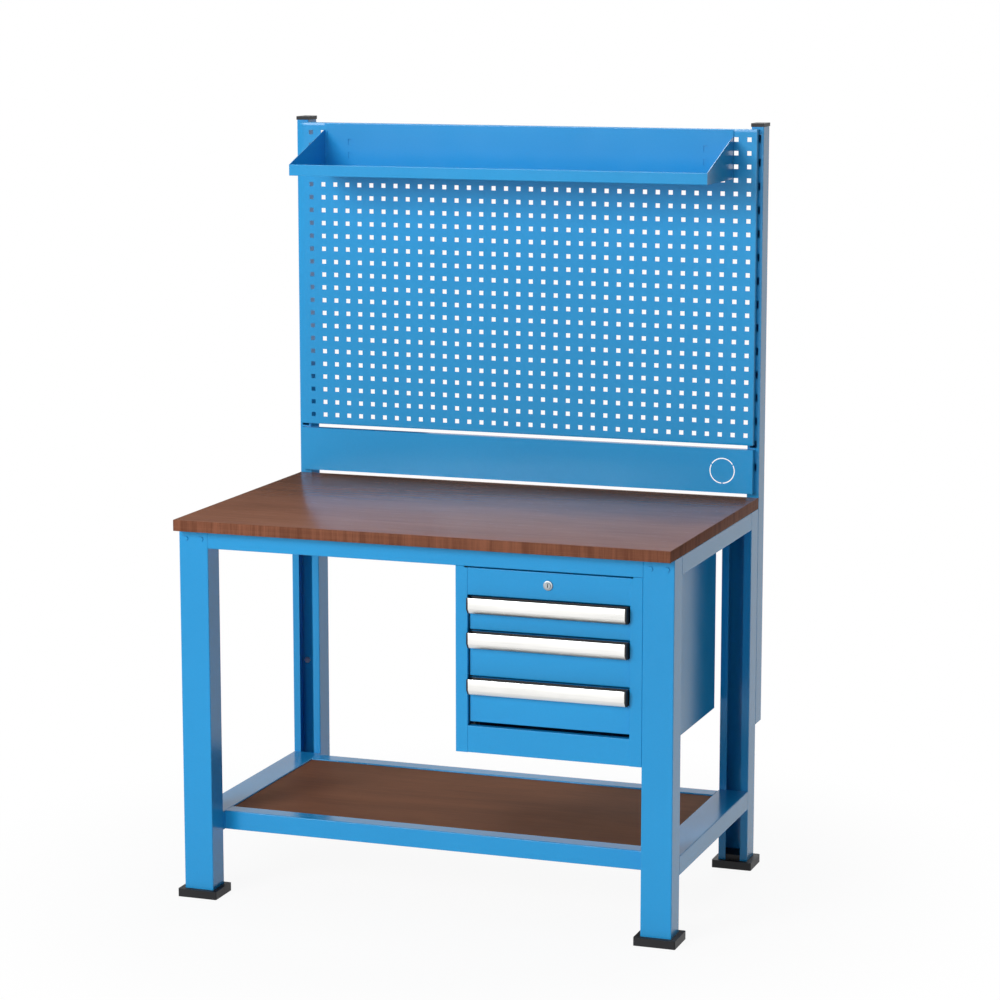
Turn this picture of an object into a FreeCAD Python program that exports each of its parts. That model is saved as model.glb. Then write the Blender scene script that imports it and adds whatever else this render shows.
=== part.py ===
import FreeCAD, Part
import math
import os

# Workbench with a pegboard, a hanging drawer cabinet and a lower shelf, in millimetres.
# X runs to the right, Y to the back and Z up. The origin is on the floor, under the middle of the
# whole bench, so the front edge of the worktop and the back of the uprights are equally far from it.

# Worktop
worktop_width = 1120.0
worktop_depth = 700.0
worktop_height = 850.0
worktop_thickness = 25.0

# Legs: lipped channels, the front pair closed to the front and the rear pair closed to the back
leg_width = 68.0
leg_depth = 58.0
leg_lip = 17.0
leg_wall = 2.0
leg_bend = 2.0
front_overhang = 30.0
foot_margin = 12.0
foot_thickness = 18.0
foot_corner_radius = 3.0
foot_plug_height = 12.0

# Rails under the worktop
rail_height = 40.0
rail_depth = 58.0
rail_wall = 2.0
rail_lip = 10.0
rail_bend = 2.0
tongue_length = 58.0

# Lower frame and its board
lower_rail_bottom = 140.0
lower_rail_height = 42.0
cross_rail_width = 40.0
cross_rail_inset = 12.0
shelf_ledge = 20.0
shelf_board_thickness = 18.0
shelf_board_recess = 3.0

# Uprights behind the rear legs
upright_width = 28.0
upright_depth = 50.0
upright_lip = 12.0
upright_wall = 2.0
upright_bend = 2.0
upright_below_worktop = 524.0
upright_above_panel = 5.0
upright_slot_pitch = 52.5
upright_slot_height = 17.0
upright_slot_width = 16.0
cap_thickness = 8.0
cap_overhang = 1.0
cap_plug_depth = 20.0

# Pegboard and the plain panel under it
panel_width = 1100.0
panel_depth = 18.0
panel_sheet = 1.2
panel_bend = 1.2
panel_return = 12.0
panel_above_worktop = 10.0
lower_panel_height = 100.0
panel_gap = 10.0
pegboard_height = 705.0
peg_hole_size = 10.0
peg_hole_pitch = 30.0
peg_hole_columns = 36
peg_hole_rows = 23
peg_hole_right_margin = 17.5
peg_hole_step = 3
cable_hole_diameter = 59.0
knockout_slot = 2.5
knockout_tab_width = 3.0
cable_hole_from_edge = 71.0

# Tray shelf hung on the pegboard
tray_width = 978.0
tray_depth = 212.0
tray_sheet = 1.2
tray_bend = 1.2
tray_lip_height = 25.0
tray_end_height = 93.0
tray_back_height = 108.0
tray_below_panel_top = 2.0
tray_end_flange = 7.0
hooks_from_tray_end = 50.0
tray_slot_width = 10.0
tray_slot_height = 14.0
tray_slot_from_end = 63.0
tray_slot_drop = 42.0
hook_plate_width = 60.0
hook_plate_height = 58.0
hook_plate_sheet = 1.5
hook_width = 8.0
hook_rise = 3.0
hook_drop = 8.0

# Hanging cabinet
cabinet_width = 412.0
cabinet_depth = 565.0
cabinet_height = 402.0
cabinet_sheet = 1.2
cabinet_bend = 1.2
carcass_bend = 0.0
cabinet_strip = 27.0
strip_notch = 7.0
cabinet_return = 12.0
fascia_recess = 1.0
fascia_depth = 14.0
fascia_top_gap = 3.0
lock_fascia_height = 58.0
bottom_gap = 8.0
hanger_lip = 22.0
hanger_setback = 62.0
hanger_rear_setback = 35.0

# Drawers, from the top down
drawer_bay_heights = (75.0, 100.0, 100.0)
drawer_front_gap = 4.0
drawer_side_gap = 2.5
drawer_recess = 8.0
drawer_front_depth = 15.0
drawer_sheet = 1.0
drawer_bend = 1.0
drawer_box_bend = 0.0
drawer_rear_space = 39.0
drawer_rim = 6.0
drawer_floor_rise = 5.0
drawer_wall_below_front = 8.0

# Telescopic slides
slide_width = 12.7
slide_height = 45.0
slide_rear_space = 35.0
slide_sheet = 1.2
slide_bend = 0.0
slide_clearance = 0.25
slide_setback = 28.0
post_width = 30.0
post_sheet = 1.5
post_bend = 0.0
post_from_end = 20.0

# Grip strips across the drawer fronts
grip_height = 34.0
grip_depth = 25.0
grip_wall = 2.0
grip_cap_thickness = 4.0

# Lock with its rod and bar
lock_drop = 27.0
lock_flange_diameter = 21.0
lock_flange_thickness = 3.0
lock_body_diameter = 17.0
lock_body_length = 20.0
lock_cylinder_diameter = 12.0
lock_cylinder_proud = 1.5
lock_fit = 0.05
keyway_width = 2.0
keyway_length = 8.0
keyway_depth = 6.0
lock_rod_diameter = 6.0
lock_bar_travel = 14.0
lock_bar_width = 20.0
lock_bar_thickness = 3.0
lock_bar_head = 34.0
crank_thickness = 3.0
crank_pin_diameter = 4.0
catch_width = 24.0
catch_sheet = 1.5
catch_foot = 8.0
catch_reach = 18.0
catch_spare = 1.0
finger_clearance = 3.0

# Fasteners
bolt_diameter = 8.0
bolt_head = 13.0
bolt_head_height = 5.0
bolt_clearance = 0.4
leg_bolt_diameter = 6.0
leg_bolt_head = 10.0
leg_bolt_head_height = 2.5
leg_bolt_offset = 18.0
seat_gap = 0.3

# Places that follow from the sizes
overall_depth = worktop_depth + upright_depth + cap_overhang
front_y = -overall_depth / 2
worktop_back_y = front_y + worktop_depth
worktop_bottom = worktop_height - worktop_thickness
leg_front_y = front_y + front_overhang
rear_leg_y = worktop_back_y - leg_depth
leg_outer_x = worktop_width / 2
leg_inner_x = leg_outer_x - leg_width
leg_mid_x = leg_outer_x - leg_width / 2
rail_bottom = worktop_bottom - rail_height
lower_rail_top = lower_rail_bottom + lower_rail_height
cross_front_y = leg_front_y + leg_depth + cross_rail_inset
cross_rear_y = rear_leg_y - cross_rail_inset
shelf_board_bottom = lower_rail_top - shelf_board_recess - shelf_board_thickness
upright_mid_x = leg_outer_x - upright_width / 2
panel_front_y = worktop_back_y - panel_depth
lower_panel_bottom = worktop_height + panel_above_worktop
lower_panel_top = lower_panel_bottom + lower_panel_height
pegboard_bottom = lower_panel_top + panel_gap
pegboard_top = pegboard_bottom + pegboard_height
upright_bottom = worktop_height - upright_below_worktop
upright_top = pegboard_top + upright_above_panel
last_hole_x = panel_width / 2 - peg_hole_right_margin
first_hole_x = last_hole_x - (peg_hole_columns - 1) * peg_hole_pitch
hole_field_height = (peg_hole_rows - 1) * peg_hole_pitch
first_hole_z = (pegboard_top + pegboard_bottom + hole_field_height) / 2
peg_grid_mid_x = (first_hole_x + last_hole_x) / 2
tray_mid_x = peg_grid_mid_x
tray_back_y = panel_front_y - hook_plate_sheet
tray_front_y = panel_front_y - tray_depth
tray_bottom = pegboard_top - tray_below_panel_top - tray_back_height
cabinet_right_x = leg_inner_x
cabinet_left_x = cabinet_right_x - cabinet_width
cabinet_mid_x = (cabinet_left_x + cabinet_right_x) / 2
cabinet_front_y = leg_front_y
cabinet_back_y = cabinet_front_y + cabinet_depth
cabinet_top_z = rail_bottom
cabinet_bottom = cabinet_top_z - cabinet_height
opening_left_x = cabinet_left_x + cabinet_strip
opening_right_x = cabinet_right_x - cabinet_strip
fascia_y = cabinet_front_y + fascia_recess
lock_fascia_top = cabinet_top_z - fascia_top_gap
bays_top = lock_fascia_top - lock_fascia_height
bays_bottom = bays_top - sum(drawer_bay_heights)
bottom_fascia_top = bays_bottom - bottom_gap
drawer_front_left = opening_left_x + drawer_side_gap
drawer_front_right = opening_right_x - drawer_side_gap
drawer_box_left = opening_left_x + slide_width
drawer_box_right = opening_right_x - slide_width
drawer_face_y = fascia_y + drawer_recess
drawer_box_front = drawer_face_y + drawer_front_depth
drawer_box_back = cabinet_back_y - drawer_rear_space
slide_front_y = cabinet_front_y + slide_setback
slide_back_y = cabinet_back_y - slide_rear_space
lock_z = lock_fascia_top - lock_drop
lock_back_y = fascia_y + cabinet_sheet + lock_body_length
catch_y = drawer_box_back + catch_reach
lock_bar_y = catch_y + 2.0
crank_radius = lock_bar_travel / math.sqrt(2)
catch_lip = lock_bar_travel + catch_spare


def at(axis, u, v, w):
    """Point of a section (u, v) that lies w along the axis it is extruded on."""
    if axis == "x":
        return FreeCAD.Vector(w, u, v)
    if axis == "y":
        return FreeCAD.Vector(u, w, v)
    return FreeCAD.Vector(u, v, w)


def box(x0, x1, y0, y1, z0, z1):
    """Block between two limits on each axis."""
    return Part.makeBox(x1 - x0, y1 - y0, z1 - z0, FreeCAD.Vector(x0, y0, z0))


def rod(axis, u, v, start, end, diameter):
    """Cylinder along an axis, centred on the section point (u, v)."""
    return Part.makeCylinder(diameter / 2, end - start, at(axis, u, v, start), at(axis, 0, 0, 1))


def prism(axis, points, start, end):
    """Polygon in the section plane, extruded from start to end along the axis."""
    corners = [at(axis, u, v, start) for u, v in points]
    outline = Part.makePolygon(corners + corners[:1])
    return Part.Face(outline).extrude(at(axis, 0, 0, end - start))


def hexagon(axis, u, v, start, end, width):
    """Hexagon head or nut, width across its flats."""
    radius = width / math.sqrt(3)
    turns = [math.radians(60 * i) for i in range(6)]
    points = [(u + radius * math.cos(a), v + radius * math.sin(a)) for a in turns]
    return prism(axis, points, start, end)


def fuse(shapes):
    """One solid from shapes that touch or overlap."""
    return shapes[0].multiFuse(shapes[1:]).removeSplitter()


def cut(shape, tools):
    """Shape without the tools."""
    return shape.cut(Part.makeCompound(tools))


def directions(points):
    """Unit direction of each stretch of an open line."""
    result = []
    for (ua, va), (ub, vb) in zip(points, points[1:]):
        length = math.hypot(ub - ua, vb - va)
        result.append(((ub - ua) / length, (vb - va) / length))
    return result


def offset_line(points, distance):
    """The open line moved sideways, to its left where the distance is positive."""
    ways = directions(points)
    first = (points[0][0] - ways[0][1] * distance, points[0][1] + ways[0][0] * distance)
    last = (points[-1][0] - ways[-1][1] * distance, points[-1][1] + ways[-1][0] * distance)
    moved = [first]
    for (u, v), a, b in zip(points[1:-1], ways, ways[1:]):
        scale = distance / (1 + a[0] * b[0] + a[1] * b[1])
        moved.append((u - (a[1] + b[1]) * scale, v + (a[0] + b[0]) * scale))
    return moved + [last]


def rounded_line(axis, points, radii, start):
    """Edges along an open line whose inner corners are rounded with the given radii."""
    ways = directions(points)
    edges = []
    here = points[0]
    for (u, v), a, b, radius in zip(points[1:-1], ways, ways[1:], radii):
        if radius == 0:
            edges.append(Part.LineSegment(at(axis, *here, start), at(axis, u, v, start)).toShape())
            here = (u, v)
            continue
        turn = math.acos(max(-1.0, min(1.0, a[0] * b[0] + a[1] * b[1])))
        reach = radius * math.tan(turn / 2)
        enter = (u - a[0] * reach, v - a[1] * reach)
        leave = (u + b[0] * reach, v + b[1] * reach)
        inward = (b[0] - a[0], b[1] - a[1])
        span = math.hypot(*inward)
        sagitta = radius / math.cos(turn / 2) - radius
        middle = (u + inward[0] / span * sagitta, v + inward[1] / span * sagitta)
        edges.append(Part.LineSegment(at(axis, *here, start), at(axis, *enter, start)).toShape())
        arc = Part.Arc(at(axis, *enter, start), at(axis, *middle, start), at(axis, *leave, start))
        edges.append(arc.toShape())
        here = leave
    edges.append(Part.LineSegment(at(axis, *here, start), at(axis, *points[-1], start)).toShape())
    return edges


def inner_radius(bend, sheet):
    """Radius inside a fold whose outside has the radius bend."""
    return max(0.0, bend - abs(sheet))


def folded(axis, points, sheet, bend, start, end):
    """Folded sheet: one face follows the points, the sheet lies to their left if it is positive.

    bend is the radius on the outside of each fold.
    """
    ways = directions(points)
    side = 1 if sheet > 0 else -1
    near = []
    far = []
    for a, b in zip(ways, ways[1:]):
        towards_sheet = (a[0] * b[1] - a[1] * b[0]) * side > 0
        inside = inner_radius(bend, sheet)
        near.append(bend if towards_sheet else inside)
        far.append(inside if towards_sheet else bend)
    other = offset_line(points, sheet)
    edges = rounded_line(axis, points, near, start) + rounded_line(axis, other, far, start)
    for here, there in ((points[0], other[0]), (points[-1], other[-1])):
        edges.append(Part.LineSegment(at(axis, *here, start), at(axis, *there, start)).toShape())
    outline = Part.Wire(Part.__sortEdges__(edges))
    return Part.Face(outline).extrude(at(axis, 0, 0, end - start))


def mirrored_x(shape):
    """The same piece on the other side of the bench."""
    return shape.mirror(FreeCAD.Vector(0, 0, 0), FreeCAD.Vector(1, 0, 0))


def bolt(axis, u, v, head_face, end_face, diameter, head, head_height):
    """Bolt with its hexagon head on one face and its shank ending at another."""
    way = 1 if end_face > head_face else -1
    head_end = head_face - way * head_height
    return fuse([
        rod(axis, u, v, min(head_face, end_face), max(head_face, end_face), diameter),
        hexagon(axis, u, v, min(head_face, head_end), max(head_face, head_end), head),
    ])


def bolt_hole(axis, u, v, start, end, diameter):
    """Clearance hole for a bolt of this diameter."""
    return rod(axis, u, v, start, end, diameter + bolt_clearance)


# Frame


def leg_profile(face_y, back_y):
    """Right leg, closed at face_y and lipped at back_y, from its foot to the worktop."""
    points = [
        (leg_inner_x + leg_lip, back_y),
        (leg_inner_x, back_y),
        (leg_inner_x, face_y),
        (leg_outer_x, face_y),
        (leg_outer_x, back_y),
        (leg_outer_x - leg_lip, back_y),
    ]
    sheet = leg_wall if back_y > face_y else -leg_wall
    return folded("z", points, sheet, leg_bend, foot_thickness, worktop_bottom)


def leg_bolt_places(at_rear):
    """X of the bolts that hold a top rail's tongue to a right leg, clear of the upright."""
    if at_rear:
        return (leg_inner_x + (leg_width - upright_width) / 2,)
    return (leg_mid_x - leg_bolt_offset, leg_mid_x + leg_bolt_offset)


def tongue_limits(face_y, back_y):
    """Y limits of a top rail's tongue, behind the closed face of a leg."""
    way = 1 if back_y > face_y else -1
    near = face_y + way * leg_wall
    far = near + way * rail_wall
    return min(near, far), max(near, far)


def leg(face_y, back_y, extra_holes):
    """Right leg with the notch for the top rail's tongue and its bolt holes."""
    low, high = tongue_limits(face_y, back_y)
    if back_y > face_y:
        high += seat_gap
    else:
        low -= seat_gap
    notch = box(leg_inner_x - 1, leg_inner_x + leg_wall, low, high, rail_bottom, worktop_bottom + 1)
    tools = [notch] + extra_holes
    face_start = face_y - 1 if back_y > face_y else face_y - leg_wall - 1
    for x in leg_bolt_places(face_y > back_y):
        z = rail_bottom + rail_height / 2
        tools.append(bolt_hole("y", x, z, face_start, face_start + leg_wall + 2, leg_bolt_diameter))
    return cut(leg_profile(face_y, back_y), tools)


def front_leg():
    return leg(leg_front_y, leg_front_y + leg_depth, [])


def upright_bolt_heights():
    """Heights of the bolts between an upright and its leg."""
    room = rail_bottom - upright_bottom
    return [upright_bottom + room * share for share in (0.15, 0.85)]


def rear_leg():
    holes = []
    for z in upright_bolt_heights():
        holes.append(bolt_hole("y", upright_mid_x, z, worktop_back_y - leg_wall - 1,
                               worktop_back_y + 1, bolt_diameter))
    return leg(worktop_back_y, rear_leg_y, holes)


def foot(front, back):
    """Plastic foot under a right leg, with a plug inside the channel."""
    base = box(leg_inner_x - foot_margin, leg_outer_x + foot_margin,
               front - foot_margin, back + foot_margin, 0, foot_thickness)
    base = base.makeFillet(foot_corner_radius, [e for e in base.Edges if is_upright_edge(e)])
    inset = leg_wall + inner_radius(leg_bend, leg_wall) + seat_gap
    plug = box(leg_inner_x + inset, leg_outer_x - inset, front + inset, back - inset,
               foot_thickness, foot_thickness + foot_plug_height)
    return fuse([base, plug])


def is_upright_edge(edge):
    """True for a straight edge that runs along Z."""
    a, b = edge.Vertexes[0].Point, edge.Vertexes[-1].Point
    return abs(a.x - b.x) < 1e-6 and abs(a.y - b.y) < 1e-6


def channel_points(low_u, high_u, bottom, top, lip):
    """Channel that is open at the bottom, with lips turned in."""
    return [(low_u + lip, bottom), (low_u, bottom), (low_u, top), (high_u, top),
            (high_u, bottom), (high_u - lip, bottom)]


def long_top_rail(front, back, face_y, back_y):
    """Front or rear rail under the worktop, with a tongue into each leg."""
    points = channel_points(front, back, rail_bottom, worktop_bottom, rail_lip)
    rail = folded("x", points, -rail_wall, rail_bend, -leg_inner_x, leg_inner_x)
    low, high = tongue_limits(face_y, back_y)
    edge = rail_wall + rail_bend
    bottom = rail_bottom + edge
    top = worktop_bottom - edge
    reach = leg_inner_x + tongue_length
    parts = [rail]
    holes = []
    for side in (-1, 1):
        inner = side * (leg_inner_x - leg_width)
        outer = side * reach
        parts.append(box(min(inner, outer), max(inner, outer), low, high, bottom, top))
        # The tongue is welded to the wall of the rail by a spacer strip.
        wall = front + rail_wall if face_y < back_y else back - rail_wall
        near = side * leg_inner_x
        parts.append(box(min(inner, near), max(inner, near), min(wall, low), max(wall, high), bottom, top))
        for x in leg_bolt_places(face_y > back_y):
            z = rail_bottom + rail_height / 2
            holes.append(bolt_hole("y", side * x, z, low - 1, high + 1, leg_bolt_diameter))
    return cut(fuse(parts), holes)


def side_rail(bottom, top):
    """Right side rail, welded between the legs."""
    points = channel_points(leg_inner_x, leg_outer_x, bottom, top, rail_lip)
    return folded("y", points, -rail_wall, rail_bend, leg_front_y + leg_depth, rear_leg_y)


def cross_rail(outer_y, way):
    """Lower cross rail: a channel whose inner wall folds into a ledge for the board."""
    inner_y = outer_y + way * cross_rail_width
    points = [
        (outer_y + way * rail_lip, lower_rail_bottom),
        (outer_y, lower_rail_bottom),
        (outer_y, lower_rail_top),
        (inner_y, lower_rail_top),
        (inner_y, shelf_board_bottom),
        (inner_y + way * shelf_ledge, shelf_board_bottom),
    ]
    return folded("x", points, -way * rail_wall, rail_bend, -leg_inner_x, leg_inner_x)


def shelf_board():
    play = inner_radius(rail_bend, rail_wall) + seat_gap
    return box(-leg_inner_x, leg_inner_x, cross_front_y + cross_rail_width + play,
               cross_rear_y - cross_rail_width - play, shelf_board_bottom,
               shelf_board_bottom + shelf_board_thickness)


def worktop():
    return box(-worktop_width / 2, worktop_width / 2, front_y, worktop_back_y, worktop_bottom, worktop_height)


def frame_bolts():
    """Bolts between the long top rails and the legs, on both sides of the bench."""
    bolts = []
    rail_mid = rail_bottom + rail_height / 2
    faces = ((leg_front_y, leg_front_y + leg_wall + rail_wall),
             (worktop_back_y, worktop_back_y - leg_wall - rail_wall))
    for outer, inner in faces:
        for x in leg_bolt_places(outer > inner):
            bolts.append(bolt("y", x, rail_mid, outer, inner, leg_bolt_diameter, leg_bolt_head,
                              leg_bolt_head_height))
    return Part.makeCompound(bolts + [mirrored_x(b) for b in bolts])


# Uprights and panels


def slot_heights():
    """Middles of the upright's slots, from the top down."""
    top = upright_top - upright_slot_pitch / 2
    count = int((upright_top - upright_bottom - upright_slot_pitch) / upright_slot_pitch) + 1
    return [top - i * upright_slot_pitch for i in range(count)]


def upright():
    """Right upright: a lipped channel, slotted in front and open at the back."""
    front = worktop_back_y
    back = front + upright_depth
    left = leg_outer_x - upright_width
    points = [(left + upright_lip, back), (left, back), (left, front), (leg_outer_x, front),
              (leg_outer_x, back), (leg_outer_x - upright_lip, back)]
    channel = folded("z", points, upright_wall, upright_bend, upright_bottom, upright_top)
    tools = []
    for z in slot_heights():
        if z - upright_slot_height > worktop_height:
            tools.append(box(upright_mid_x - upright_slot_width / 2, upright_mid_x + upright_slot_width / 2,
                             front - 1, front + upright_wall + 1,
                             z - upright_slot_height / 2, z + upright_slot_height / 2))
    for z in upright_bolt_heights():
        tools.append(bolt_hole("y", upright_mid_x, z, front - 1, front + upright_wall + 1, bolt_diameter))
    return cut(channel, tools)


def upright_bolts():
    bolts = []
    for z in upright_bolt_heights():
        bolts.append(bolt("y", upright_mid_x, z, worktop_back_y - leg_wall, worktop_back_y + upright_wall,
                          bolt_diameter, bolt_head, bolt_head_height))
    return Part.makeCompound(bolts + [mirrored_x(b) for b in bolts])


def upright_cap():
    """Plastic cap on a right upright, with a plug in the channel."""
    left = leg_outer_x - upright_width
    front = worktop_back_y
    plate = box(left - cap_overhang, leg_outer_x + cap_overhang, front - cap_overhang,
                front + upright_depth + cap_overhang, upright_top, upright_top + cap_thickness)
    top_edges = [e for e in plate.Edges if min(v.Z for v in e.Vertexes) > upright_top]
    plate = plate.makeChamfer(cap_overhang / 2, top_edges)
    inset = upright_wall + inner_radius(upright_bend, upright_wall) + seat_gap
    plug = box(left + inset, leg_outer_x - inset,
               front + inset, front + upright_depth - inset, upright_top - cap_plug_depth, upright_top)
    return fuse([plate, plug])


def hook(face_y, floor_z, wall, x):
    """Hook that leaves a face at face_y, rests on floor_z and drops behind a wall."""
    bottom = floor_z + seat_gap
    behind = face_y + wall + seat_gap
    points = [(face_y - 0.5, bottom), (behind, bottom), (behind, bottom - hook_drop),
              (behind + hook_plate_sheet, bottom - hook_drop),
              (behind + hook_plate_sheet, bottom + hook_rise), (face_y - 0.5, bottom + hook_rise)]
    return prism("x", points, x - hook_width / 2, x + hook_width / 2)


def panel_tray(bottom, top):
    """Sheet panel with flanges all round and returns where it meets the uprights."""
    half = panel_width / 2
    points = [
        (-half + panel_return, worktop_back_y),
        (-half, worktop_back_y),
        (-half, panel_front_y),
        (half, panel_front_y),
        (half, worktop_back_y),
        (half - panel_return, worktop_back_y),
    ]
    skin = folded("z", points, panel_sheet, panel_bend, bottom, top)
    edge = panel_sheet / 2
    rims = []
    for z in (bottom, top - panel_sheet):
        rims.append(box(-half + edge, half - edge, panel_front_y + edge, worktop_back_y, z, z + panel_sheet))
    hooks = []
    lowest = bottom + hook_drop + upright_slot_height / 2
    slots = [z for z in slot_heights() if lowest < z < top - hook_drop]
    chosen = {slots[0], slots[len(slots) // 2], slots[-1]}
    hook_x = half - panel_return + hook_width / 2
    for z in sorted(chosen):
        for side in (-1, 1):
            hooks.append(hook(worktop_back_y, z - upright_slot_height / 2, upright_wall, side * hook_x))
    return fuse([skin] + rims + hooks)


def hook_columns():
    """Hole columns that carry the tray: a pair near each end of it."""
    nearest = tray_mid_x - tray_width / 2 + hooks_from_tray_end
    left = max(0, math.ceil((nearest - first_hole_x) / peg_hole_pitch))
    return (left, left + 1), (peg_hole_columns - 2 - left, peg_hole_columns - 1 - left)


def hook_rows():
    """Hole rows that carry the tray."""
    return (1, 2)


def hole_x(column):
    return first_hole_x + column * peg_hole_pitch


def hole_z(row):
    return first_hole_z - row * peg_hole_pitch


def modelled_holes():
    """Every hole on the step each way, and each one that carries a hook of the tray."""
    carrying = {(c, r) for pair in hook_columns() for c in pair for r in hook_rows()}
    for column in range(peg_hole_columns):
        for row in range(peg_hole_rows):
            on_step = column % peg_hole_step == 0 and row % peg_hole_step == 0
            if on_step or (column, row) in carrying:
                yield hole_x(column), hole_z(row)


def pegboard():
    half = peg_hole_size / 2
    holes = []
    for x, z in modelled_holes():
        holes.append(box(x - half, x + half, panel_front_y - 1, panel_front_y + panel_sheet + 1,
                         z - half, z + half))
    return cut(panel_tray(pegboard_bottom, pegboard_top), holes)


def cable_hole_centre():
    return panel_width / 2 - cable_hole_from_edge, (lower_panel_bottom + lower_panel_top) / 2


def lower_back_panel():
    x, z = cable_hole_centre()
    hole = rod("y", x, z, panel_front_y - 1, panel_front_y + panel_sheet + 1, cable_hole_diameter)
    return cut(panel_tray(lower_panel_bottom, lower_panel_top), [hole])


def cable_knockout():
    """Disc that fills the cable hole until it is knocked out: a see-through slot round it, and three tabs."""
    x, z = cable_hole_centre()
    back = panel_front_y + panel_sheet
    reach = cable_hole_diameter / 2 - seat_gap
    disc = rod("y", x, z, panel_front_y, back, cable_hole_diameter - 2 * knockout_slot)
    tabs = []
    for turn in (90, 210, 330):
        tab = box(x, x + reach, panel_front_y, back, z - knockout_tab_width / 2, z + knockout_tab_width / 2)
        tab.rotate(at("y", x, z, 0), at("y", 0, 0, 1), turn)
        tabs.append(tab)
    rim = rod("y", x, z, panel_front_y, back, 2 * reach)
    return fuse([disc] + tabs).common(rim)


# Tray shelf


def tray_shelf():
    """Folded tray: base, front lip and back in one sheet, with a slanted end at each side."""
    left = tray_mid_x - tray_width / 2
    right = tray_mid_x + tray_width / 2
    points = [(tray_front_y + tray_end_flange, tray_bottom + tray_lip_height),
              (tray_front_y, tray_bottom + tray_lip_height), (tray_front_y, tray_bottom),
              (tray_back_y, tray_bottom), (tray_back_y, tray_bottom + tray_back_height)]
    parts = [folded("x", points, tray_sheet, tray_bend, left, right)]
    corner = tray_bend
    end_points = [(tray_front_y + corner, tray_bottom), (tray_back_y - corner, tray_bottom),
                  (tray_back_y, tray_bottom + corner), (tray_back_y, tray_bottom + tray_end_height),
                  (tray_back_y - tray_end_flange, tray_bottom + tray_end_height),
                  (tray_front_y, tray_bottom + tray_lip_height), (tray_front_y, tray_bottom + corner)]
    for start in (left, right - tray_sheet):
        parts.append(prism("x", end_points, start, start + tray_sheet))
    for start, end in ((left, left + tray_end_flange), (right - tray_end_flange, right)):
        parts.append(box(start, end, tray_back_y - 2 * tray_sheet, tray_back_y,
                         tray_bottom + corner, tray_bottom + tray_end_height))
    slots = []
    for x in (left + tray_slot_from_end, right - tray_slot_from_end):
        for row in (0, 1):
            z = tray_bottom + tray_back_height - tray_slot_drop - row * peg_hole_pitch
            slots.append(box(x - tray_slot_width / 2, x + tray_slot_width / 2,
                             tray_back_y - tray_sheet - 1, tray_back_y + 1,
                             z - tray_slot_height / 2, z + tray_slot_height / 2))
    return cut(fuse(parts), slots)


def tray_hooks():
    """Hook plates on the back of the tray, with four hooks each in the pegboard's holes."""
    plates = []
    for pair in hook_columns():
        x = (hole_x(pair[0]) + hole_x(pair[1])) / 2
        z = (hole_z(hook_rows()[0]) + hole_z(hook_rows()[1])) / 2
        parts = [box(x - hook_plate_width / 2, x + hook_plate_width / 2, tray_back_y, panel_front_y,
                     z - hook_plate_height / 2, z + hook_plate_height / 2)]
        for column in pair:
            for row in hook_rows():
                floor_z = hole_z(row) - peg_hole_size / 2
                parts.append(hook(panel_front_y, floor_z, panel_sheet, hole_x(column)))
        plates.append(fuse(parts))
    return Part.makeCompound(plates)


# Cabinet


def cabinet_left_side():
    """Side wall whose front edge is folded into the strip beside the drawers, notched at its top."""
    points = [
        (opening_left_x, cabinet_front_y + cabinet_return),
        (opening_left_x, cabinet_front_y),
        (cabinet_left_x, cabinet_front_y),
        (cabinet_left_x, cabinet_back_y),
        (cabinet_left_x + cabinet_return, cabinet_back_y),
    ]
    wall = folded("z", points, -cabinet_sheet, cabinet_bend, cabinet_bottom, cabinet_top_z)
    notch = box(opening_left_x - strip_notch, opening_left_x + 1, cabinet_front_y - 1,
                cabinet_front_y + cabinet_return + 1, cabinet_top_z - fascia_top_gap, cabinet_top_z + 1)
    return cut(wall, [notch])


def cabinet_right_side():
    left = cabinet_left_side()
    return left.mirror(FreeCAD.Vector(cabinet_mid_x, 0, 0), FreeCAD.Vector(1, 0, 0))


def cabinet_inner_x():
    """X limits of the space between the two side walls."""
    return cabinet_left_x + cabinet_sheet, cabinet_right_x - cabinet_sheet


def cabinet_back():
    """Back panel with the two clips that guide the lock bar."""
    left, right = cabinet_inner_x()
    corner = inner_radius(cabinet_bend, cabinet_sheet)
    front = cabinet_back_y - 2 * cabinet_sheet
    parts = [box(left + corner, right - corner, front, front + cabinet_sheet,
                 cabinet_bottom + cabinet_sheet, cabinet_top_z - cabinet_sheet)]
    for z in guide_heights():
        parts.append(lock_bar_guide(z, front))
    return fuse(parts)


def guide_heights():
    """Heights of the lock bar's guides, between the catches of the drawers."""
    return [drawer_heights(1)[1] + drawer_front_gap / 2, drawer_heights(2)[1] + drawer_front_gap / 2]


def lock_bar_guide(z, back):
    """Clip round the lock bar, on the back panel."""
    half = lock_bar_width / 2 + seat_gap
    wall = cabinet_sheet
    front = lock_bar_y - seat_gap - wall
    behind = lock_bar_y + lock_bar_thickness + seat_gap
    outer = box(cabinet_mid_x - half - wall, cabinet_mid_x + half + wall, front, back, z - 6, z + 6)
    inner = box(cabinet_mid_x - half, cabinet_mid_x + half, front + wall, behind, z - 7, z + 7)
    mouth = half - 3
    lip_cut = box(cabinet_mid_x - mouth, cabinet_mid_x + mouth, front - 1, front + wall + 1, z - 7, z + 7)
    return outer.cut(inner).cut(lip_cut)


def cabinet_floor():
    """Floor panel with its edges turned up against the walls."""
    left, right = cabinet_inner_x()
    points = [(left, cabinet_bottom + cabinet_return), (left, cabinet_bottom), (right, cabinet_bottom),
              (right, cabinet_bottom + cabinet_return)]
    start = fascia_y + fascia_depth
    return folded("y", points, cabinet_sheet, carcass_bend, start, cabinet_back_y - 2 * cabinet_sheet)


def hanger_y():
    """Y limits of the channel that hangs the cabinet from the worktop."""
    return cabinet_front_y + hanger_setback, cabinet_back_y - hanger_rear_setback


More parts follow.
